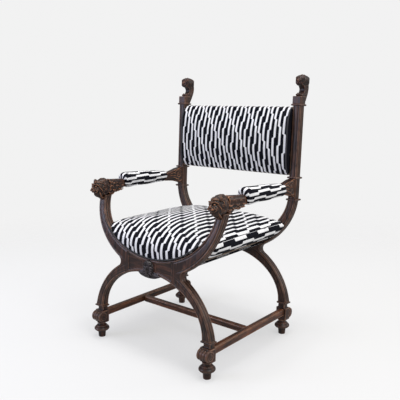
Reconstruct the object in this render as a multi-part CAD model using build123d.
"""Renaissance revival curule armchair, in millimetres, +Z up, front towards -Y.

The origin is on the floor, in the middle of the chair's width and depth.
Both X-shaped frames lean back by the same angle about their feet. They are flat, but
for the arm supports, which bend further back above the seat's lower edge.
Whatever belongs to a frame is drawn upright first, with X across, Y up and Z towards
the front, and is then stood up in its frame's plane.
"""

import os
from math import radians, sqrt, tan

from build123d import *

os.makedirs("parts", exist_ok=True)

# ---------------------------------------------------------------- driving sizes
LEAN = 2.95                  # degrees that both frames lean back
FOOT_HALF_SPAN = 300.0       # foot centres, half of the spacing across
FOOT_HALF_DEPTH = 267.7      # foot centres, half of the spacing front to back
FIT = 0.3                    # clearance between curved or soft neighbours

# frame timber
FRAME_DEPTH = 36.0
FRAME_CHAMFER = 4.0
POST_HALF_SPAN = 320.8       # centre of each straight post
POST_WIDTH = 37.4
ARCH_INNER_HALF = 279.0      # lower arch, inner edge
ARCH_INNER_CROWN = 23.0      # its top below the waist
ARCH_INNER_BASE = 150.0
ARCH_OUTER_HALF = 326.5      # lower arch, outer edge
ARCH_OUTER_CROWN = 28.0      # its top above the waist
ARCH_OUTER_BASE = 100.0
CRADLE_INNER_SAG = 35.0      # upper U, inner edge: its lowest point above the waist
CRADLE_INNER_TOP = 630.0
CRADLE_OUTER_SAG = 30.0      # upper U, outer edge: its lowest point below the waist
CRADLE_OUTER_TOP = 634.0
WAIST_HEIGHT = 372.0
WAIST_RADIUS = 22.0
CENTRE_RAIL_HALF = 125.0
SUPPORT_BEND_LIFT = 13.0     # where the arm supports begin to bend back, above the waist
SUPPORT_BEND_RADIUS = 890.0
PANEL_MARGIN = 12.0          # plain border around the sunk fields of the front rail
PANEL_SINK = 2.5
PANEL_START = 38.0

# foot blocks and turned feet
FOOT_TOP = 68.0
BLOCK_WIDTH = 52.0
BLOCK_TOP = 122.0
BLOCK_CHAMFER = 2.5
NECK_WIDTH = 32.0
NECK_SETBACK = 8.0
SCROLL_RADIUS = 23.0
SCROLL_INSET = 1.0           # scroll's axis behind the block's face
SCROLL_HEIGHT = 96.0
SCROLL_RIBS = 4
SCROLL_EYE_RADIUS = 9.0
SCROLL_EYE_PROUD = 2.0
FLANGE_RADIUS = 33.0
FLANGE_HEIGHT = 39.0
FOOT_PEG_RADIUS = 15.0
FOOT_TENON_RADIUS = 8.0
FOOT_TENON_LENGTH = 22.0

# moulded collars
COLLAR_THICK = 8.0
COLLAR_PROUD = 5.5
LEG_COLLAR_PROUD = 2.5
LEG_COLLAR_HEIGHT = 144.0
LOWER_COLLAR_DROP = 54.0     # lower collars below the arms' axis
MIDDLE_COLLAR_RISE = 41.0    # middle collars above the arms' axis
UPPER_COLLAR_HEIGHT = 1013.6

# stretchers
SIDE_STRETCHER_WIDTH = 26.0
SIDE_STRETCHER_HEIGHT = 29.0
SIDE_STRETCHER_BOTTOM = 90.0
SIDE_STRETCHER_OUT = 3.0     # its middle outside the feet's middle
CROSS_STRETCHER_WIDTH = 24.0
CROSS_STRETCHER_HEIGHT = 28.0
CROSS_STRETCHER_BOTTOM = 88.0
STRETCHER_CHAMFER = 4.0

# arms
ARM_AXIS_HEIGHT = 664.0
SUPPORT_END_DROP = 34.0      # arm supports' top below the arms' axis
HEAD_HALF_WIDTH = 29.5
HEAD_HALF_HEIGHT = 39.0
HEAD_AHEAD = 33.7            # head's middle ahead of the middle of the support's top
HEAD_FORWARD = 6.0           # skull's middle ahead of the head's middle
HEAD_REAR = 40.0             # flat rear joint behind the head's middle
MUZZLE_RADIUS = 15.0
MUZZLE_REACH = 44.0
ARM_CORE = 30.0
ARM_NECK_FRONT_WIDTH = 45.0
ARM_NECK_FRONT_HEIGHT = 60.0
ARM_NECK_REAR_WIDTH = 38.0
ARM_NECK_REAR_HEIGHT = 42.0
PAD_FRONT = -101.0
PAD_REAR = 183.0
PAD_OUT = 12.0               # middle of the pad outside the middle of the post
PAD_WIDTH = 70.0
PAD_FRONT_HEIGHT = 72.0
PAD_REAR_HEIGHT = 54.0
PAD_DROP = 21.0              # pad's underside below the arms' axis
BRACKET_WIDTH = 28.0
BRACKET_NOSE = 20.0          # bracket's front end inside the pad
BRACKET_FRONT_HEIGHT = 34.0

# caps and finials
CAP_WIDTH = 42.0
CAP_DEPTH = 40.0
CAP_TOP = 1050.0
FINIAL_TOP = 1140.0
FINIAL_HEAD_RADIUS = 22.0
FINIAL_HEAD_WIDTH = 46.0
FINIAL_NECK_WIDTH = 27.0
FINIAL_REACH = 53.0          # back of the neck behind the post's middle
FINIAL_DEPTH = 66.0
FINIAL_SETBACK = 21.0        # middle of its depth behind the post's middle

# mask boss on the front rail, with the leafage that spreads from it along the rail's edge
MASK_HALF_WIDTH = 26.0
MASK_RISE = 34.0             # above the waist
MASK_DROP = 39.0             # below the waist
MASK_PROUD = 20.0
LEAFAGE_HALF = 56.0
LEAFAGE_RISE = 16.0
LEAFAGE_SAG = 2.0            # its middle below the top of the arch
LEAFAGE_PROUD = 3.0

# back panel
BACK_GAP = 2.0               # fabric to the posts and collars
BACK_BULGE = 42.0            # front of the stuffing ahead of the posts' middle
BACK_REAR = 17.0             # rear cover behind the posts' middle
BACK_RAIL_HEIGHT = 40.0
BACK_RAIL_THICK = 22.0

# seat
SEAT_FLOOR_LIFT = 15.0       # underside above the waist
SEAT_CREST_LIFT = 118.0      # widest place of the sides above the underside
SEAT_DOME = 47.0             # top of the stuffing in the middle above the widest place
SEAT_HALF_WIDTH = 303.0
SEAT_FLOOR_HALF = 165.0      # half width of the flat underside
SEAT_RAIL_THICK = 20.0
SEAT_RAIL_HEIGHT = 44.0
SEAT_RAIL_TILT = 42.0
SEAT_RAIL_OUT = 243.0
SEAT_RAIL_LIFT = 81.0        # above the underside
SEAT_BOARD_THICK = 12.0
WEBBING_LIFT = 63.0          # above the seat's underside
WEBBING_WIDTH = 50.0
WEBBING_THICK = 2.0
WEBBING_COUNT = 6
BACK_WEBBING_COUNT = 6
BURLAP_THICK = 1.5

# upholstery and joinery details
COVER_THICK = 2.0
GIMP_WIDTH = 7.0
GIMP_THICK = 2.5
DOWEL_RADIUS = 4.5
DOWEL_LENGTH = 40.0
DOWEL_FIT = 0.15

# ---------------------------------------------------------------- worked-out sizes
HALF_DEPTH = FRAME_DEPTH / 2
POST_INNER = POST_HALF_SPAN - POST_WIDTH / 2
POST_OUTER = POST_HALF_SPAN + POST_WIDTH / 2
ARCH_INNER_RISE = WAIST_HEIGHT - ARCH_INNER_CROWN - ARCH_INNER_BASE
ARCH_OUTER_RISE = WAIST_HEIGHT + ARCH_OUTER_CROWN - ARCH_OUTER_BASE
CRADLE_INNER_DROP = CRADLE_INNER_TOP - WAIST_HEIGHT - CRADLE_INNER_SAG
CRADLE_OUTER_DROP = CRADLE_OUTER_TOP - WAIST_HEIGHT + CRADLE_OUTER_SAG
SUPPORT_BEND_START = WAIST_HEIGHT + SUPPORT_BEND_LIFT
ARM_SUPPORT_TOP = ARM_AXIS_HEIGHT - SUPPORT_END_DROP
LOWER_COLLAR_HEIGHT = ARM_AXIS_HEIGHT - LOWER_COLLAR_DROP
MIDDLE_COLLAR_HEIGHT = ARM_AXIS_HEIGHT + MIDDLE_COLLAR_RISE
PAD_BOTTOM = ARM_AXIS_HEIGHT - PAD_DROP
MASK_TOP = WAIST_HEIGHT + MASK_RISE
MASK_BOTTOM = WAIST_HEIGHT - MASK_DROP
SEAT_UNDERSIDE = WAIST_HEIGHT + SEAT_FLOOR_LIFT
SEAT_CREST = SEAT_UNDERSIDE + SEAT_CREST_LIFT
SEAT_CROWN = SEAT_CREST + SEAT_DOME
SEAT_RAIL_UP = SEAT_UNDERSIDE + SEAT_RAIL_LIFT
WEBBING_HEIGHT = SEAT_UNDERSIDE + WEBBING_LIFT
COLLAR_TOP = LEG_COLLAR_HEIGHT + COLLAR_THICK / 2
POST_TOP = UPPER_COLLAR_HEIGHT + COLLAR_THICK / 2
SUPPORT_TOP_MIDDLE = -((ARM_SUPPORT_TOP - SUPPORT_BEND_START) ** 2) / (2 * SUPPORT_BEND_RADIUS)
HEAD_MIDDLE = SUPPORT_TOP_MIDDLE + HEAD_AHEAD
HEAD_JOINT = HEAD_MIDDLE - HEAD_REAR
SIDE_STRETCHER_X = FOOT_HALF_SPAN + SIDE_STRETCHER_OUT
FAR = 3000.0                 # beyond every piece, for cutting
FRONT = -1
REAR = 1

parts = {}


# ---------------------------------------------------------------- helpers
def slab(x0, x1, y0, y1, z0, z1):
    """Box given by its lowest and highest corners."""
    middle = Pos((x0 + x1) / 2, (y0 + y1) / 2, (z0 + z1) / 2)
    return middle * Box(x1 - x0, y1 - y0, z1 - z0)


def field(x0, x1, y0, y1):
    """Rectangle given by its lowest and highest corners."""
    return Pos((x0 + x1) / 2, (y0 + y1) / 2) * Rectangle(x1 - x0, y1 - y0)


def stand(shape, side):
    """Stand an upright-drawn shape in the front or the rear frame's leaning plane."""
    return Pos(0, side * FOOT_HALF_DEPTH, 0) * Rot(90 - LEAN, 0, 0) * shape


def lean_y(side, height):
    """Middle of a frame's depth at a height above the floor."""
    return side * FOOT_HALF_DEPTH + height * tan(radians(LEAN))


def across(sketch, half_width):
    """Extrude a side view, drawn with X towards the front and Y up, to both sides."""
    return Rot(0, -90, 0) * extrude(sketch, amount=half_width, both=True)


def side_view(sketch, half_width):
    """Extrude a side view, drawn with X towards the back and Y up, in floor coordinates."""
    return Rot(0, 0, 90) * Rot(90, 0, 0) * extrude(sketch, amount=half_width, both=True)


def front_view(sketch, reach):
    """Extrude a front view, drawn with X across and Y up, in floor coordinates."""
    return Rot(90, 0, 0) * extrude(sketch, amount=reach, both=True)


def closed(*edges):
    """Face inside a closed chain of edges."""
    return make_face(list(edges))


def spheroid(radius_x, radius_y, radius_z):
    """Ellipsoid about the origin."""
    return scale(Sphere(1.0), by=(radius_x, radius_y, radius_z))


def mirrored(shape):
    """The same piece on the other side of the chair."""
    return mirror(shape, about=Plane.YZ)


def pair(name, shape):
    """Store a piece of the +X side as left and its mirror image as right."""
    parts[name + "_left"] = shape
    parts[name + "_right"] = mirrored(shape)


def group(shapes):
    """Separate solids that share one node."""
    return Compound([solid for shape in shapes for solid in shape.solids()])


def bored(name, cutter):
    """Cut a hole in a stored piece."""
    parts[name] = parts[name] - cutter


def peg(x, y, z, tilt, radius=DOWEL_RADIUS, length=DOWEL_LENGTH):
    """Dowel with its middle at a point; tilt turns it from upright."""
    return Pos(x, y, z) * tilt * Cylinder(radius, length)


ALONG_X = Rot(0, 90, 0)
ALONG_Y = Rot(90, 0, 0)
UPRIGHT = Rot(0, 0, 0)


def join(pins, names, x, y, z, tilt, side=None):
    """Dowel a joint: bore both pieces and keep the pin."""
    pin = peg(x, y, z, tilt)
    hole = peg(x, y, z, tilt, DOWEL_RADIUS + DOWEL_FIT, DOWEL_LENGTH + 2 * DOWEL_FIT)
    if side is not None:
        pin = stand(pin, side)
        hole = stand(hole, side)
    for name in names:
        bored(name, hole)
    pins.append(pin)


def join_both_sides(pins, names, x, y, z, tilt, side=None):
    """Dowel the same joint on the left and on the right; names take their side's ending."""
    for sign, ending in ((1, "_left"), (-1, "_right")):
        both = [name if name in parts else name + ending for name in names]
        join(pins, both, sign * x, y, z, tilt, side)


# ---------------------------------------------------------------- frames
def arch_region(half, rise, base):
    """Half ellipse on straight legs."""
    return Pos(0, base) * Ellipse(half, rise) + field(-half, half, 0, base)


def cradle_region(half, drop, top):
    """Half ellipse hanging under straight posts."""
    return Pos(0, top) * Ellipse(half, drop) + field(-half, half, top, FAR)


def frame_outline(top):
    """Front view of one frame, from the leg collars up to a height."""
    outside = (arch_region(ARCH_OUTER_HALF, ARCH_OUTER_RISE, ARCH_OUTER_BASE)
               + cradle_region(POST_OUTER, CRADLE_OUTER_DROP, CRADLE_OUTER_TOP))
    waist = [v for v in outside.vertices()
             if abs(v.Y - WAIST_HEIGHT) < 3 * WAIST_RADIUS and abs(v.X) > CENTRE_RAIL_HALF / 2]
    outside = fillet(waist, WAIST_RADIUS)
    inside = (arch_region(ARCH_INNER_HALF, ARCH_INNER_RISE, ARCH_INNER_BASE)
              + cradle_region(POST_INNER, CRADLE_INNER_DROP, CRADLE_INNER_TOP))
    return (outside - inside) & field(-FAR, FAR, COLLAR_TOP, top)


def long_edges(solid, top):
    """Edges of both faces of a frame, but not those across its cut ends."""
    chosen = []
    for edge in solid.edges():
        middle = edge.center()
        at_face = abs(abs(middle.Z) - HALF_DEPTH) < 0.01
        at_end = abs(middle.Y - COLLAR_TOP) < 0.01 or abs(middle.Y - top) < 0.01
        if at_face and not at_end:
            chosen.append(edge)
    return chosen


def frame_body(top):
    """One whole frame before it is divided into its members."""
    body = extrude(frame_outline(top), amount=HALF_DEPTH, both=True)
    return chamfer(long_edges(body, top), FRAME_CHAMFER)


def barrel(half_width):
    """Ribbed scroll of a foot block, its axis along X, with a round eye on each end."""
    rib_width = 2 * half_width / SCROLL_RIBS
    core = Rot(0, 90, 0) * Cylinder(SCROLL_RADIUS - 3, 2 * half_width)
    for index in range(SCROLL_RIBS):
        rib = Cylinder(SCROLL_RADIUS, rib_width)
        rib = fillet(rib.edges().filter_by(GeomType.CIRCLE), rib_width / 3)
        core += Pos(-half_width + (index + 0.5) * rib_width, 0, 0) * Rot(0, 90, 0) * rib
    eye = Cylinder(SCROLL_EYE_RADIUS, 2 * (half_width + SCROLL_EYE_PROUD))
    eye = chamfer(eye.edges().filter_by(GeomType.CIRCLE), SCROLL_EYE_PROUD / 2)
    return core + Rot(0, 90, 0) * eye


def leg_lower_end(outward):
    """Neck, block and scroll under a leg's collar; outward is 1 with the scroll in front."""
    half_block = BLOCK_WIDTH / 2
    block = slab(-half_block, half_block, FOOT_TOP - 12, BLOCK_TOP, -HALF_DEPTH, HALF_DEPTH)
    block = chamfer(block.edges().filter_by(Axis.Y), BLOCK_CHAMFER)
    inner_face = -outward * HALF_DEPTH
    outer_face = outward * (HALF_DEPTH - NECK_SETBACK)
    neck = slab(-NECK_WIDTH / 2, NECK_WIDTH / 2, BLOCK_TOP, COLLAR_TOP,
                min(inner_face, outer_face), max(inner_face, outer_face))
    scroll = Pos(0, SCROLL_HEIGHT, outward * (HALF_DEPTH - SCROLL_INSET)) * barrel(half_block)
    return Pos(FOOT_HALF_SPAN, 0, 0) * (block + neck + scroll)


def bend_profile(reach):
    """Side view of all that lies behind a surface ahead of the bent supports' middle."""
    disc = Pos(-SUPPORT_BEND_RADIUS, SUPPORT_BEND_START) * Circle(SUPPORT_BEND_RADIUS + reach)
    return ((disc & field(-FAR, FAR, SUPPORT_BEND_START, FAR))
            + field(-SUPPORT_BEND_RADIUS, reach, 0, SUPPORT_BEND_START))


def arm_support():
    """Front frame above the waist on the +X side, bent back towards its top."""
    outline = (frame_outline(ARM_SUPPORT_TOP)
               & field(CENTRE_RAIL_HALF, FAR, WAIST_HEIGHT, ARM_SUPPORT_TOP))
    band = bend_profile(HALF_DEPTH) - bend_profile(-HALF_DEPTH)
    body = extrude(outline, amount=3 * FRAME_DEPTH, both=True) & across(band, FAR)
    chosen = []
    for edge in body.edges():
        middle = edge.position_at(0.5)
        course = edge.tangent_at(0.5)
        at_end = (abs(middle.Y - ARM_SUPPORT_TOP) < 0.01 or abs(middle.Y - WAIST_HEIGHT) < 0.01
                  or abs(middle.X - CENTRE_RAIL_HALF) < 0.01)
        crosses = abs(course.Z) > 0.9 or abs(course.X) > 0.999
        if edge.length > FRAME_CHAMFER and not at_end and not crosses:
            chosen.append(edge)
    return chamfer(chosen, FRAME_CHAMFER)


def make_frames():
    """Legs, arm supports or posts, and centre rail of both frames."""
    low = slab(CENTRE_RAIL_HALF, FAR, 0, WAIST_HEIGHT, -FAR, FAR)
    high = slab(CENTRE_RAIL_HALF, FAR, WAIST_HEIGHT, FAR, -FAR, FAR)
    middle = slab(-CENTRE_RAIL_HALF, CENTRE_RAIL_HALF, 0, FAR, -FAR, FAR)
    under_floor_joint = slab(-FAR, FAR, -FAR, FAR, -FAR, FOOT_TOP)
    for side, prefix, upper, top in ((FRONT, "front", "front_arm_support", ARM_SUPPORT_TOP),
                                     (REAR, "rear", "rear_post", POST_TOP)):
        body = frame_body(top)
        leg = (body & low) + leg_lower_end(-side)
        pair(prefix + "_leg", stand(leg, side) - under_floor_joint)
        pair(upper, stand(arm_support() if side == FRONT else body & high, side))
        rail = body & middle
        if side == FRONT:
            rail -= rail_panels()
        parts[prefix + "_centre_rail"] = stand(rail, side)


def rail_panels():
    """Two sunk fields beside the mask on the face of the front rail."""
    end = CENTRE_RAIL_HALF - PANEL_MARGIN / 2
    outline = (field(PANEL_START, end, 0, FAR)
               - Pos(0, ARCH_INNER_BASE) * Ellipse(ARCH_INNER_HALF, ARCH_INNER_RISE + PANEL_MARGIN)
               - Pos(0, CRADLE_INNER_TOP) * Ellipse(POST_INNER, CRADLE_INNER_DROP + PANEL_MARGIN))
    low = ARCH_INNER_BASE + ARCH_INNER_RISE / 2
    high = CRADLE_INNER_TOP - CRADLE_INNER_DROP / 2
    strip = outline & field(PANEL_START, end, low, high)
    cutter = Pos(0, 0, HALF_DEPTH - PANEL_SINK) * extrude(strip, amount=2 * PANEL_SINK)
    return cutter + mirrored(cutter)


# ---------------------------------------------------------------- feet, collars, stretchers
def make_feet():
    """Turned feet with a round tenon up into each leg."""
    shoulder = FOOT_TENON_RADIUS + 9
    profile = closed(
        Polyline((0, 0), (FOOT_PEG_RADIUS, 0), (FOOT_PEG_RADIUS + 2, FLANGE_HEIGHT - 12),
                 (FOOT_PEG_RADIUS + 7, FLANGE_HEIGHT - 11)),
        Spline((FOOT_PEG_RADIUS + 7, FLANGE_HEIGHT - 11), (FLANGE_RADIUS, FLANGE_HEIGHT),
               (FLANGE_RADIUS - 6, FLANGE_HEIGHT + 9)),
        Polyline((FLANGE_RADIUS - 6, FLANGE_HEIGHT + 9), (FLANGE_RADIUS - 9, FLANGE_HEIGHT + 10),
                 (FLANGE_RADIUS - 9, FLANGE_HEIGHT + 13), (FOOT_PEG_RADIUS, FOOT_TOP - 9),
                 (FOOT_PEG_RADIUS, FOOT_TOP - 5), (shoulder + 3, FOOT_TOP - 3),
                 (shoulder + 3, FOOT_TOP), (FOOT_TENON_RADIUS, FOOT_TOP),
                 (FOOT_TENON_RADIUS, FOOT_TOP + FOOT_TENON_LENGTH),
                 (0, FOOT_TOP + FOOT_TENON_LENGTH), (0, 0)))
    foot = revolve(Rot(90, 0, 0) * profile, axis=Axis.Z)
    hole = Pos(0, 0, FOOT_TOP) * Cylinder(FOOT_TENON_RADIUS + DOWEL_FIT,
                                          2 * (FOOT_TENON_LENGTH + FIT))
    for side, prefix in ((FRONT, "front"), (REAR, "rear")):
        place = Pos(FOOT_HALF_SPAN, side * FOOT_HALF_DEPTH, 0)
        bored(prefix + "_leg_left", place * hole)
        bored(prefix + "_leg_right", mirrored(place * hole))
        pair(prefix + "_turned_foot", place * foot)


def collar(x_low, x_high, height, proud):
    """Moulded ring of a collar before the member's own section is cut out of it."""
    reach = HALF_DEPTH + proud
    plate = slab(x_low - proud, x_high + proud, height - COLLAR_THICK / 2,
                 height + COLLAR_THICK / 2, -reach, reach)
    rim = plate.edges().filter_by(Axis.X) + plate.edges().filter_by(Axis.Z)
    return chamfer(rim, COLLAR_THICK / 4)


def make_collars():
    """Thin square collars round the legs and the posts."""
    rings = []
    climbed = (COLLAR_TOP - ARCH_OUTER_BASE) / ARCH_OUTER_RISE
    leg_outer = ARCH_OUTER_HALF * sqrt(1 - climbed ** 2)
    plate = collar(ARCH_INNER_HALF, leg_outer, LEG_COLLAR_HEIGHT, LEG_COLLAR_PROUD)
    for side, prefix in ((FRONT, "front"), (REAR, "rear")):
        ring = stand(plate, side) - parts[prefix + "_leg_left"]
        rings += [ring, mirrored(ring)]
    parts["leg_collars"] = group(rings)
    for name, height in (("lower_post_collars", LOWER_COLLAR_HEIGHT),
                         ("middle_post_collars", MIDDLE_COLLAR_HEIGHT),
                         ("upper_post_collars", UPPER_COLLAR_HEIGHT)):
        plate = stand(collar(POST_INNER, POST_OUTER, height, COLLAR_PROUD), REAR)
        ring = plate - parts["rear_post_left"]
        parts[name] = group([ring, mirrored(ring)])


def make_stretchers():
    """Two side stretchers between the legs, and one across between them."""
    top = SIDE_STRETCHER_BOTTOM + SIDE_STRETCHER_HEIGHT
    low_y = lean_y(FRONT, SIDE_STRETCHER_BOTTOM)
    high_y = lean_y(REAR, top)
    half = SIDE_STRETCHER_WIDTH / 2
    bar = slab(SIDE_STRETCHER_X - half, SIDE_STRETCHER_X + half, low_y, high_y,
               SIDE_STRETCHER_BOTTOM, top)
    upper = bar.edges().filter_by(Axis.Y).group_by(Axis.Z)[-1]
    bar = chamfer(upper, STRETCHER_CHAMFER)
    for side in (FRONT, REAR):
        inner = side * HALF_DEPTH
        bar -= stand(slab(-FAR, FAR, -FAR, FAR, min(inner, side * -FAR), max(inner, side * -FAR)),
                     side)
    pair("side_stretcher", bar)
    reach = SIDE_STRETCHER_X - half
    half_cross = CROSS_STRETCHER_WIDTH / 2
    cross = slab(-reach, reach, -half_cross, half_cross, CROSS_STRETCHER_BOTTOM,
                 CROSS_STRETCHER_BOTTOM + CROSS_STRETCHER_HEIGHT)
    upper = cross.edges().filter_by(Axis.X).group_by(Axis.Z)[-1]
    parts["cross_stretcher"] = chamfer(upper, STRETCHER_CHAMFER)


# ---------------------------------------------------------------- arms
def make_arm_heads():
    """Lion heads on the arm supports, drawn upright and stood in the front frame."""
    skull = Pos(0, 0, HEAD_FORWARD) * spheroid(HEAD_HALF_WIDTH - 5, HEAD_HALF_HEIGHT - 6, 32)
    mane = Pos(0, 0, -14) * spheroid(HEAD_HALF_WIDTH, HEAD_HALF_HEIGHT, 36)
    beard = Pos(0, -26, 6) * spheroid(19, 18, 25)
    cheeks = Pos(0, -8, 26) * spheroid(21, 15, 18)
    muzzle = Pos(0, -9, MUZZLE_REACH - MUZZLE_RADIUS) * spheroid(MUZZLE_RADIUS, 12, MUZZLE_RADIUS)
    nose = Pos(0, -2, MUZZLE_REACH - 9) * spheroid(7, 6, 8)
    brow = Pos(0, 12, 27) * spheroid(19, 7, 10)
    head = skull + mane + beard + cheeks + muzzle + nose + brow
    for sign in (1, -1):
        head += Pos(sign * 21, 25, 10) * spheroid(8, 9, 7)
    head = Pos(POST_HALF_SPAN, ARM_AXIS_HEIGHT, HEAD_MIDDLE) * head
    head = head & slab(0, FAR, 0, FAR, HEAD_JOINT, FAR)
    behind = across(bend_profile(HALF_DEPTH + FIT), FAR)
    head -= behind & slab(0, FAR, 0, ARM_SUPPORT_TOP, -FAR, FAR)
    pair("arm_lion_head", stand(head, FRONT))


def ring_section(width, height, y, z, out=PAD_OUT):
    """Rounded rectangle across the arm at a depth y, centred at a height z."""
    plane = Plane(origin=(POST_HALF_SPAN + out, y, z), x_dir=(1, 0, 0), z_dir=(0, 1, 0))
    return plane * RectangleRounded(width, height, 0.42 * min(width, height))


def pad_form(inset):
    """Padded arm rest, shrunk all round by an inset."""
    taper = (PAD_FRONT_HEIGHT - PAD_REAR_HEIGHT) / (PAD_REAR - PAD_FRONT)
    sections = []
    stations = ((0.0, 0.62), (0.03, 0.86), (0.11, 1.0), (0.45, 1.0), (0.85, 0.96), (0.97, 0.84),
                (1.0, 0.68))
    for share, swell in stations:
        y = PAD_FRONT + inset + share * (PAD_REAR - PAD_FRONT - 2 * inset)
        full = PAD_FRONT_HEIGHT - taper * (y - PAD_FRONT)
        middle = PAD_BOTTOM + full / 2
        sections.append(ring_section(swell * PAD_WIDTH - 2 * inset, swell * full - 2 * inset,
                                     y, middle))
    return loft(sections)


def bracket_view():
    """Side view of the carved bracket between the pad and the post, X towards the back."""
    nose = PAD_REAR - BRACKET_NOSE
    root = lean_y(REAR, ARM_AXIS_HEIGHT)
    half = BRACKET_FRONT_HEIGHT / 2
    low = LOWER_COLLAR_HEIGHT + COLLAR_THICK / 2 + FIT
    high = MIDDLE_COLLAR_HEIGHT - COLLAR_THICK / 2 - FIT
    return closed(
        Polyline((root, low), (root, high)),
        Spline((root, high), (root - 40, high - 1), (PAD_REAR + 6, ARM_AXIS_HEIGHT + half + 3),
               (nose, ARM_AXIS_HEIGHT + half)),
        Polyline((nose, ARM_AXIS_HEIGHT + half), (nose, ARM_AXIS_HEIGHT - half)),
        Spline((nose, ARM_AXIS_HEIGHT - half), (PAD_REAR + 10, ARM_AXIS_HEIGHT - half - 3),
               (root - 42, low + 16), (root, low)))


def make_arms():
    """Arm rails with a carved neck and bracket, and their stuffed and covered pads."""
    front_y = lean_y(FRONT, ARM_AXIS_HEIGHT) - HEAD_JOINT
    neck_front = ring_section(ARM_NECK_FRONT_WIDTH, ARM_NECK_FRONT_HEIGHT, front_y - 6,
                              ARM_AXIS_HEIGHT, 0)
    neck_rear = ring_section(ARM_NECK_REAR_WIDTH, ARM_NECK_REAR_HEIGHT, PAD_FRONT - FIT,
                             ARM_AXIS_HEIGHT)
    neck = loft([neck_front, neck_rear])
    half = ARM_CORE / 2
    pad_x = POST_HALF_SPAN + PAD_OUT
    core = slab(pad_x - half, pad_x + half, PAD_FRONT - 4,
                PAD_REAR - BRACKET_NOSE + 2, ARM_AXIS_HEIGHT - half, ARM_AXIS_HEIGHT + half)
    bracket = Pos(POST_HALF_SPAN, 0, 0) * side_view(bracket_view(), BRACKET_WIDTH / 2)
    rail = neck + core + bracket
    rail -= stand(slab(-FAR, FAR, -FAR, FAR, HEAD_JOINT, FAR), FRONT)
    rail -= stand(slab(-FAR, FAR, -FAR, FAR, -FAR, HALF_DEPTH), REAR)
    under_collar = MIDDLE_COLLAR_HEIGHT - COLLAR_THICK / 2 - FIT
    rail -= stand(slab(-FAR, FAR, under_collar, FAR, -FAR, FAR), REAR)
    pair("arm_rail", rail)
    hollow = slab(pad_x - half - FIT, pad_x + half + FIT, PAD_FRONT - 10,
                  PAD_REAR + 10, ARM_AXIS_HEIGHT - half - FIT, ARM_AXIS_HEIGHT + half + FIT)
    nose_room = half + 5
    hollow += slab(POST_HALF_SPAN - BRACKET_WIDTH / 2 - FIT, pad_x + half + FIT,
                   PAD_REAR - BRACKET_NOSE - FIT, PAD_REAR + 10, ARM_AXIS_HEIGHT - nose_room,
                   ARM_AXIS_HEIGHT + nose_room + 3)
    pair("arm_pad_stuffing", pad_form(COVER_THICK + FIT) - hollow)
    pair("arm_pad_cover", pad_form(0) - pad_form(COVER_THICK) - hollow)


# ---------------------------------------------------------------- caps and finials
def make_caps():
    """Square cap blocks on the posts."""
    half_x = CAP_WIDTH / 2
    half_z = CAP_DEPTH / 2
    block = slab(POST_HALF_SPAN - half_x, POST_HALF_SPAN + half_x, POST_TOP, CAP_TOP, -half_z,
                 half_z)
    block = chamfer(block.edges().filter_by(Axis.Y), BLOCK_CHAMFER)
    pair("cap_block", stand(block, REAR))


def finial_side():
    """Side view of a finial, X towards the front, Y up."""
    back = -CAP_DEPTH / 2
    reach = -FINIAL_REACH
    rise = FINIAL_TOP - CAP_TOP
    return closed(
        Spline((4, CAP_TOP), (-9, CAP_TOP + 0.12 * rise), (-21, CAP_TOP + 0.3 * rise),
               (-14, CAP_TOP + 0.46 * rise), (0, CAP_TOP + 0.5 * rise)),
        Spline((0, CAP_TOP + 0.5 * rise), (10, CAP_TOP + 0.64 * rise), (5, CAP_TOP + 0.86 * rise),
               (-15, FINIAL_TOP), (-38, FINIAL_TOP - 0.08 * rise),
               (reach + 2, FINIAL_TOP - 0.3 * rise), (reach, CAP_TOP + 0.42 * rise),
               (reach + 6, CAP_TOP + 0.12 * rise), (reach + 17, CAP_TOP - 0.15 * rise),
               (back - 5, POST_TOP)),
        Polyline((back - 5, POST_TOP), (back - FIT, POST_TOP), (back - FIT, CAP_TOP),
                 (4, CAP_TOP)))


def finial_front():
    """Front view of a finial: a broad head over a narrower neck."""
    middle = FINIAL_TOP - FINIAL_HEAD_RADIUS
    head = Pos(0, middle) * Ellipse(FINIAL_HEAD_WIDTH / 2, FINIAL_HEAD_RADIUS)
    half = FINIAL_NECK_WIDTH / 2
    return head + field(-half, half, POST_TOP, middle)


def make_finials():
    """Lion-headed finials curling forward over their cap blocks."""
    body = across(finial_side(), FINIAL_HEAD_WIDTH) & extrude(finial_front(), amount=FAR, both=True)
    plan = RectangleRounded(FINIAL_HEAD_WIDTH, FINIAL_DEPTH, 0.45 * FINIAL_HEAD_WIDTH)
    column = Rot(90, 0, 0) * extrude(plan, amount=FAR, both=True)
    body = body & Pos(0, 0, -FINIAL_SETBACK) * column
    middle = FINIAL_TOP - FINIAL_HEAD_RADIUS
    body += Pos(0, middle - 5, 3) * spheroid(11, 9, 11)
    body += Pos(0, middle + 6, -4) * spheroid(15, 6, 10)
    pair("finial", stand(Pos(POST_HALF_SPAN, 0, 0) * body, REAR))


def make_mask():
    """Carved foliate mask hanging on the front centre rail."""
    middle = (MASK_TOP + MASK_BOTTOM) / 2
    half_height = (MASK_TOP - MASK_BOTTOM) / 2
    shield = Pos(0, middle + 4, 0) * spheroid(MASK_HALF_WIDTH, half_height - 6, MASK_PROUD - 6)
    chin = Pos(0, MASK_BOTTOM + 17, 0) * spheroid(15, 17, MASK_PROUD - 5)
    face = Pos(0, middle - 2, 5) * spheroid(15, 21, MASK_PROUD - 6)
    nose = Pos(0, middle - 5, MASK_PROUD - 6) * spheroid(4.5, 8, 6)
    crest = Pos(0, MASK_TOP - 12, 3) * spheroid(20, 10, 13)
    mask = shield + chin + face + nose + crest
    for sign in (1, -1):
        mask += Pos(sign * 7, middle + 8, 13) * spheroid(6, 4, 5)
    mask = Pos(0, 0, HALF_DEPTH) * mask & slab(-FAR, FAR, 0, FAR, HALF_DEPTH, FAR)
    parts["mask_boss"] = stand(mask + leafage(), FRONT)


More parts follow.
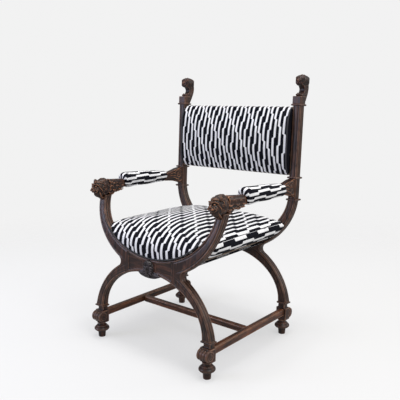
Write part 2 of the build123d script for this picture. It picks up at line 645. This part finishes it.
def leafage():
    """Low leafage over the front rail's lower edge, filling the top of the arch."""
    spread = (Pos(0, ARCH_INNER_BASE + ARCH_INNER_RISE - LEAFAGE_SAG)
              * Ellipse(LEAFAGE_HALF, LEAFAGE_RISE))
    opening = (Pos(0, ARCH_INNER_BASE)
               * Ellipse(ARCH_INNER_HALF - FIT, ARCH_INNER_RISE - FIT))
    face = Pos(0, 0, HALF_DEPTH) * extrude(spread, amount=LEAFAGE_PROUD)
    return face + extrude(spread & opening, amount=HALF_DEPTH, both=True)


# ---------------------------------------------------------------- back
def back_outline(inset):
    """Side view of the back panel, X towards the front, Y up in the rear frame."""
    low = MIDDLE_COLLAR_HEIGHT + COLLAR_THICK / 2 + BACK_GAP + inset
    high = UPPER_COLLAR_HEIGHT - COLLAR_THICK / 2 - BACK_GAP - inset
    middle = (low + high) / 2
    front = BACK_BULGE - inset
    rear = -BACK_REAR + inset
    turn = rear + 8
    return closed(
        Spline((turn, high), (0.4 * front, high - 7), (0.88 * front, high - 48), (front, middle),
               (0.88 * front, low + 48), (0.4 * front, low + 7), (turn, low)),
        Polyline((turn, low), (rear, low + 8), (rear, high - 8), (turn, high)))


def make_back():
    """Rails, webbing, burlap, stuffing, covers and end trimmings of the back."""
    low = MIDDLE_COLLAR_HEIGHT + COLLAR_THICK / 2 + BACK_GAP + COVER_THICK + 2
    high = UPPER_COLLAR_HEIGHT - COLLAR_THICK / 2 - BACK_GAP - COVER_THICK - 2
    half_rail = BACK_RAIL_THICK / 2
    rail_room = []
    for name, bottom in (("back_top_rail", high - BACK_RAIL_HEIGHT), ("back_bottom_rail", low)):
        bar = slab(-POST_INNER, POST_INNER, bottom, bottom + BACK_RAIL_HEIGHT, -half_rail,
                   half_rail)
        parts[name] = stand(bar, REAR)
        rail_room.append(slab(-POST_INNER - 1, POST_INNER + 1, bottom - FIT,
                              bottom + BACK_RAIL_HEIGHT + FIT, -half_rail - FIT, half_rail + FIT))
    half = POST_INNER - BACK_GAP
    webs = []
    pitch = 2 * half / BACK_WEBBING_COUNT
    for index in range(BACK_WEBBING_COUNT):
        x = -half + (index + 0.5) * pitch
        webs.append(slab(x - WEBBING_WIDTH / 2, x + WEBBING_WIDTH / 2, low + 4, high - 4,
                         half_rail, half_rail + WEBBING_THICK))
    parts["back_webbing"] = stand(group(webs), REAR)
    burlap_face = half_rail + WEBBING_THICK + BURLAP_THICK
    inner_half = half - COVER_THICK - 1
    parts["back_burlap"] = stand(slab(-inner_half, inner_half, low + 12, high - 12,
                                      half_rail + WEBBING_THICK, burlap_face), REAR)
    outer = back_outline(0)
    lining = back_outline(COVER_THICK)
    padding = back_outline(COVER_THICK + FIT)
    ahead = slab(-FAR, FAR, 0, FAR, burlap_face + FIT, FAR)
    parts["back_stuffing"] = stand(across(padding, inner_half) & ahead, REAR)
    before_rear = slab(-FAR, FAR, 0, FAR, -BACK_REAR + COVER_THICK, FAR)
    cover = across(outer, half) - across(lining, half - COVER_THICK)
    cover = cover & before_rear
    for room in rail_room:
        cover -= room
    parts["back_cover"] = stand(cover, REAR)
    panel_low = low - COVER_THICK + 6
    panel_high = high + COVER_THICK - 6
    parts["back_outer_cover"] = stand(slab(-half, half, panel_low, panel_high, -BACK_REAR,
                                           -BACK_REAR + COVER_THICK), REAR)
    band = across(back_outline(-GIMP_THICK), half) - across(back_outline(-FIT), FAR)
    trims = []
    for sign in (1, -1):
        ends = sorted((sign * half, sign * (half - GIMP_WIDTH)))
        trims.append(band & slab(ends[0], ends[1], low + 10, high - 10, 0, FAR))
    parts["back_gimp"] = stand(group(trims), REAR)


# ---------------------------------------------------------------- seat
def seat_section(inset):
    """Front view of the seat between the frames."""
    w = SEAT_HALF_WIDTH - inset
    crest = SEAT_CREST
    crown = SEAT_CROWN - inset
    floor = SEAT_UNDERSIDE + inset
    flat = SEAT_FLOOR_HALF
    lower_out = w - 41
    lower_up = crest - 59
    right = [(w, crest - 4), (w - 5, crest - 20), (lower_out, lower_up),
             (lower_out - 29, lower_up - 21), (flat + 36, floor + 18), (flat, floor)]
    left = [(-x, y) for x, y in reversed(right)]
    top = Spline((-w, crest - 4), (-w + 12, crest + 9), (-0.82 * w, crest + 18),
                 (-0.5 * w, crown - 15), (0, crown), (0.5 * w, crown - 15), (0.82 * w, crest + 18),
                 (w - 12, crest + 9), (w, crest - 4))
    return closed(top, Polyline(*right, *left))


def seat_profile(inset):
    """Side view of the seat, X towards the back, Y up."""
    crown = SEAT_CROWN - inset
    front = lean_y(FRONT, SEAT_CREST) - HALF_DEPTH - 8 + inset
    back = lean_y(REAR, SEAT_CREST) + HALF_DEPTH + 2 - inset
    low = SEAT_UNDERSIDE + inset
    return closed(
        Spline((front + 4, low + 25), (front, low + 65), (front + 9, crown - 62),
               (front + 36, crown - 33), (front + 85, crown - 16), (front + 170, crown - 4),
               (0, crown), (back - 120, crown - 10), (back - 52, crown - 27),
               (back - 12, crown - 56), (back, crown - 100), (back - 2, low + 25)),
        Polyline((back - 2, low + 25), (back - 8, low), (front + 10, low), (front + 4, low + 25)))


def seat_form(inset):
    """Stuffed seat: a crowned body between the frames with a lip inside each U."""
    crowned = front_view(seat_section(inset), FAR / 2) & side_view(seat_profile(inset), FAR / 2)
    gap = FIT + inset
    between = (stand(across(bend_profile(-HALF_DEPTH - gap), FAR), FRONT)
               & stand(slab(-FAR, FAR, -FAR, FAR, HALF_DEPTH + gap, FAR), REAR))
    form = crowned & between
    throat = cradle_region(POST_INNER - gap, CRADLE_INNER_DROP - gap, CRADLE_INNER_TOP)
    swell = cradle_region(POST_INNER - gap - GIMP_WIDTH, CRADLE_INNER_DROP - gap - GIMP_WIDTH,
                          CRADLE_INNER_TOP)
    for side in (FRONT, REAR):
        outward = -side
        plug = extrude(throat, amount=HALF_DEPTH - inset, both=False)
        plug += Pos(0, 0, -HALF_DEPTH - 12) * extrude(throat, amount=HALF_DEPTH + 12)
        plug += extrude(swell, amount=HALF_DEPTH + 20)
        if outward < 0:
            plug = mirror(plug, about=Plane.XY)
        form += stand(plug, side) & crowned
    return form


def seat_rails():
    """Front-to-back rail under the seat's side, following the U."""
    bar = Rectangle(SEAT_RAIL_THICK, SEAT_RAIL_HEIGHT)
    sketch = Pos(SEAT_RAIL_OUT, SEAT_RAIL_UP) * Rot(0, 0, -SEAT_RAIL_TILT) * bar
    beam = front_view(sketch, FOOT_HALF_DEPTH + 50)
    beam = beam & stand(across(bend_profile(-HALF_DEPTH), FAR), FRONT)
    beam -= stand(slab(-FAR, FAR, -FAR, FAR, -FAR, HALF_DEPTH), REAR)
    return beam


def make_seat():
    """Rails, board, webbing, burlap, stuffing, cover, underside and front trimming."""
    rail = seat_rails()
    pair("seat_side_rail", rail)
    both_rails = rail + mirrored(rail)
    between = (stand(across(bend_profile(-HALF_DEPTH), FAR), FRONT)
               & stand(slab(-FAR, FAR, -FAR, FAR, HALF_DEPTH, FAR), REAR))
    board_low = SEAT_UNDERSIDE + COVER_THICK + FIT
    board = slab(-SEAT_FLOOR_HALF + 3, SEAT_FLOOR_HALF - 3, -FOOT_HALF_DEPTH - 50,
                 FOOT_HALF_DEPTH + 50, board_low, board_low + SEAT_BOARD_THICK)
    parts["seat_bottom_board"] = board & between

    web_top = WEBBING_HEIGHT + WEBBING_THICK
    front_y = lean_y(FRONT, WEBBING_HEIGHT) + HALF_DEPTH + 6
    back_y = lean_y(REAR, WEBBING_HEIGHT) - HALF_DEPTH - 6
    pitch = (back_y - front_y) / WEBBING_COUNT
    straps = []
    for index in range(WEBBING_COUNT):
        y = front_y + (index + 0.5) * pitch
        strap = slab(-SEAT_RAIL_OUT, SEAT_RAIL_OUT, y - WEBBING_WIDTH / 2, y + WEBBING_WIDTH / 2,
                     WEBBING_HEIGHT, web_top) - both_rails
        straps.append(strap.solids().sort_by(SortBy.VOLUME)[-1])
    parts["seat_webbing"] = group(straps)
    burlap_top = web_top + BURLAP_THICK
    burlap = slab(-SEAT_RAIL_OUT, SEAT_RAIL_OUT, front_y, back_y, web_top, burlap_top) - both_rails
    parts["seat_burlap"] = burlap.solids().sort_by(SortBy.VOLUME)[-1]

    well = slab(-FAR, FAR, -FAR, FAR, 0, burlap_top + FIT) & between
    rail_gap = seat_rails_clearance()
    stuffing = seat_form(COVER_THICK + FIT) - well - rail_gap - mirrored(rail_gap)
    parts["seat_stuffing"] = stuffing.solids().sort_by(SortBy.VOLUME)[-1]
    cover = seat_form(0) - seat_form(COVER_THICK)
    window = slab(-SEAT_FLOOR_HALF, SEAT_FLOOR_HALF, -FAR, FAR, 0,
                  board_low + SEAT_BOARD_THICK + FIT) & between
    cover -= window
    cover -= rail_gap + mirrored(rail_gap)
    parts["seat_cover"] = cover.solids().sort_by(SortBy.VOLUME)[-1]
    sheet = slab(-SEAT_FLOOR_HALF + FIT, SEAT_FLOOR_HALF - FIT, -FAR, FAR, SEAT_UNDERSIDE,
                 SEAT_UNDERSIDE + COVER_THICK)
    parts["seat_dust_cover"] = sheet & between
    band = (cradle_region(POST_INNER - FIT, CRADLE_INNER_DROP - FIT, CRADLE_INNER_TOP)
            - cradle_region(POST_INNER - GIMP_WIDTH, CRADLE_INNER_DROP - GIMP_WIDTH,
                            CRADLE_INNER_TOP))
    band = band & field(-FAR, FAR, 0, SEAT_CREST)
    trim = Pos(0, 0, HALF_DEPTH + FIT) * extrude(band, amount=GIMP_THICK)
    parts["seat_gimp"] = stand(trim, FRONT)


def seat_rails_clearance():
    """Room for one seat rail inside the stuffing and through the cover's ends."""
    bar = Rectangle(SEAT_RAIL_THICK + 2 * FIT, SEAT_RAIL_HEIGHT + 2 * FIT)
    sketch = Pos(SEAT_RAIL_OUT, SEAT_RAIL_UP) * Rot(0, 0, -SEAT_RAIL_TILT) * bar
    return front_view(sketch, FAR / 2)


# ---------------------------------------------------------------- dowels
def make_dowels():
    """Hidden dowels of every glued joint, with their holes."""
    pins = []
    leg_middle = (WAIST_HEIGHT + ARCH_INNER_BASE + 0.9 * ARCH_INNER_RISE) / 2
    upper_middle = WAIST_HEIGHT + 27
    for side, prefix, upper in ((FRONT, "front", "front_arm_support"), (REAR, "rear", "rear_post")):
        rail = prefix + "_centre_rail"
        join_both_sides(pins, [rail, prefix + "_leg"], CENTRE_RAIL_HALF, leg_middle, 0, ALONG_X,
                        side)
        join_both_sides(pins, [rail, upper], CENTRE_RAIL_HALF, upper_middle, 0, ALONG_X, side)
        join_both_sides(pins, [prefix + "_leg", upper], CENTRE_RAIL_HALF + 28, WAIST_HEIGHT, 0,
                        ALONG_Y, side)
    parts["frame_dowels"] = group(pins)

    pins = []
    height = SIDE_STRETCHER_BOTTOM + 0.4 * SIDE_STRETCHER_HEIGHT
    for side, prefix in ((FRONT, "front"), (REAR, "rear")):
        y = lean_y(side, height) - side * HALF_DEPTH
        join_both_sides(pins, [prefix + "_leg", "side_stretcher"], SIDE_STRETCHER_X, y, height,
                        ALONG_Y)
    cross_height = CROSS_STRETCHER_BOTTOM + CROSS_STRETCHER_HEIGHT / 2
    pin_x = SIDE_STRETCHER_X - SIDE_STRETCHER_WIDTH / 2 - 6
    join_both_sides(pins, ["cross_stretcher", "side_stretcher"], pin_x, 0, cross_height, ALONG_X)
    parts["stretcher_dowels"] = group(pins)

    pins = []
    join_both_sides(pins, ["front_arm_support", "arm_lion_head"], POST_HALF_SPAN, ARM_SUPPORT_TOP,
                    SUPPORT_TOP_MIDDLE + 6, ALONG_Y, FRONT)
    join_both_sides(pins, ["arm_lion_head", "arm_rail"], POST_HALF_SPAN,
                    ARM_AXIS_HEIGHT + 6, HEAD_JOINT, UPRIGHT, FRONT)
    join_both_sides(pins, ["arm_rail", "rear_post"], POST_HALF_SPAN,
                    ARM_AXIS_HEIGHT - 4, HALF_DEPTH + 4, UPRIGHT, REAR)
    parts["arm_dowels"] = group(pins)

    pins = []
    join_both_sides(pins, ["rear_post", "cap_block"], POST_HALF_SPAN, POST_TOP - 6, 0, ALONG_Y,
                    REAR)
    parts["cap_dowels"] = group(pins)

    pins = []
    for name, height in (("back_top_rail", UPPER_COLLAR_HEIGHT - 35),
                         ("back_bottom_rail", MIDDLE_COLLAR_HEIGHT + 32)):
        join_both_sides(pins, [name, "rear_post"], POST_INNER - 6, height, 0, ALONG_X, REAR)
    parts["back_rail_dowels"] = group(pins)

    pins = []
    for side, upper in ((FRONT, "front_arm_support"), (REAR, "rear_post")):
        y = lean_y(side, SEAT_RAIL_UP) - side * HALF_DEPTH
        join_both_sides(pins, ["seat_side_rail", upper], SEAT_RAIL_OUT, y, SEAT_RAIL_UP, ALONG_Y)
    parts["seat_rail_dowels"] = group(pins)


# ---------------------------------------------------------------- whole chair
make_frames()
make_feet()
make_collars()
make_stretchers()
make_arm_heads()
make_arms()
make_caps()
make_finials()
make_mask()
make_back()
make_seat()
make_dowels()

boxes = [shape.bounding_box() for shape in parts.values()]
middle_y = (min(box.min.Y for box in boxes) + max(box.max.Y for box in boxes)) / 2
for node, shape in parts.items():
    placed = [Pos(0, -middle_y, 0) * solid for solid in shape.solids()]
    whole = placed[0] if len(placed) == 1 else Compound(placed)
    export_step(whole, f"parts/{node}.step")
print("depth middle", round(middle_y, 3), "pieces", len(parts))
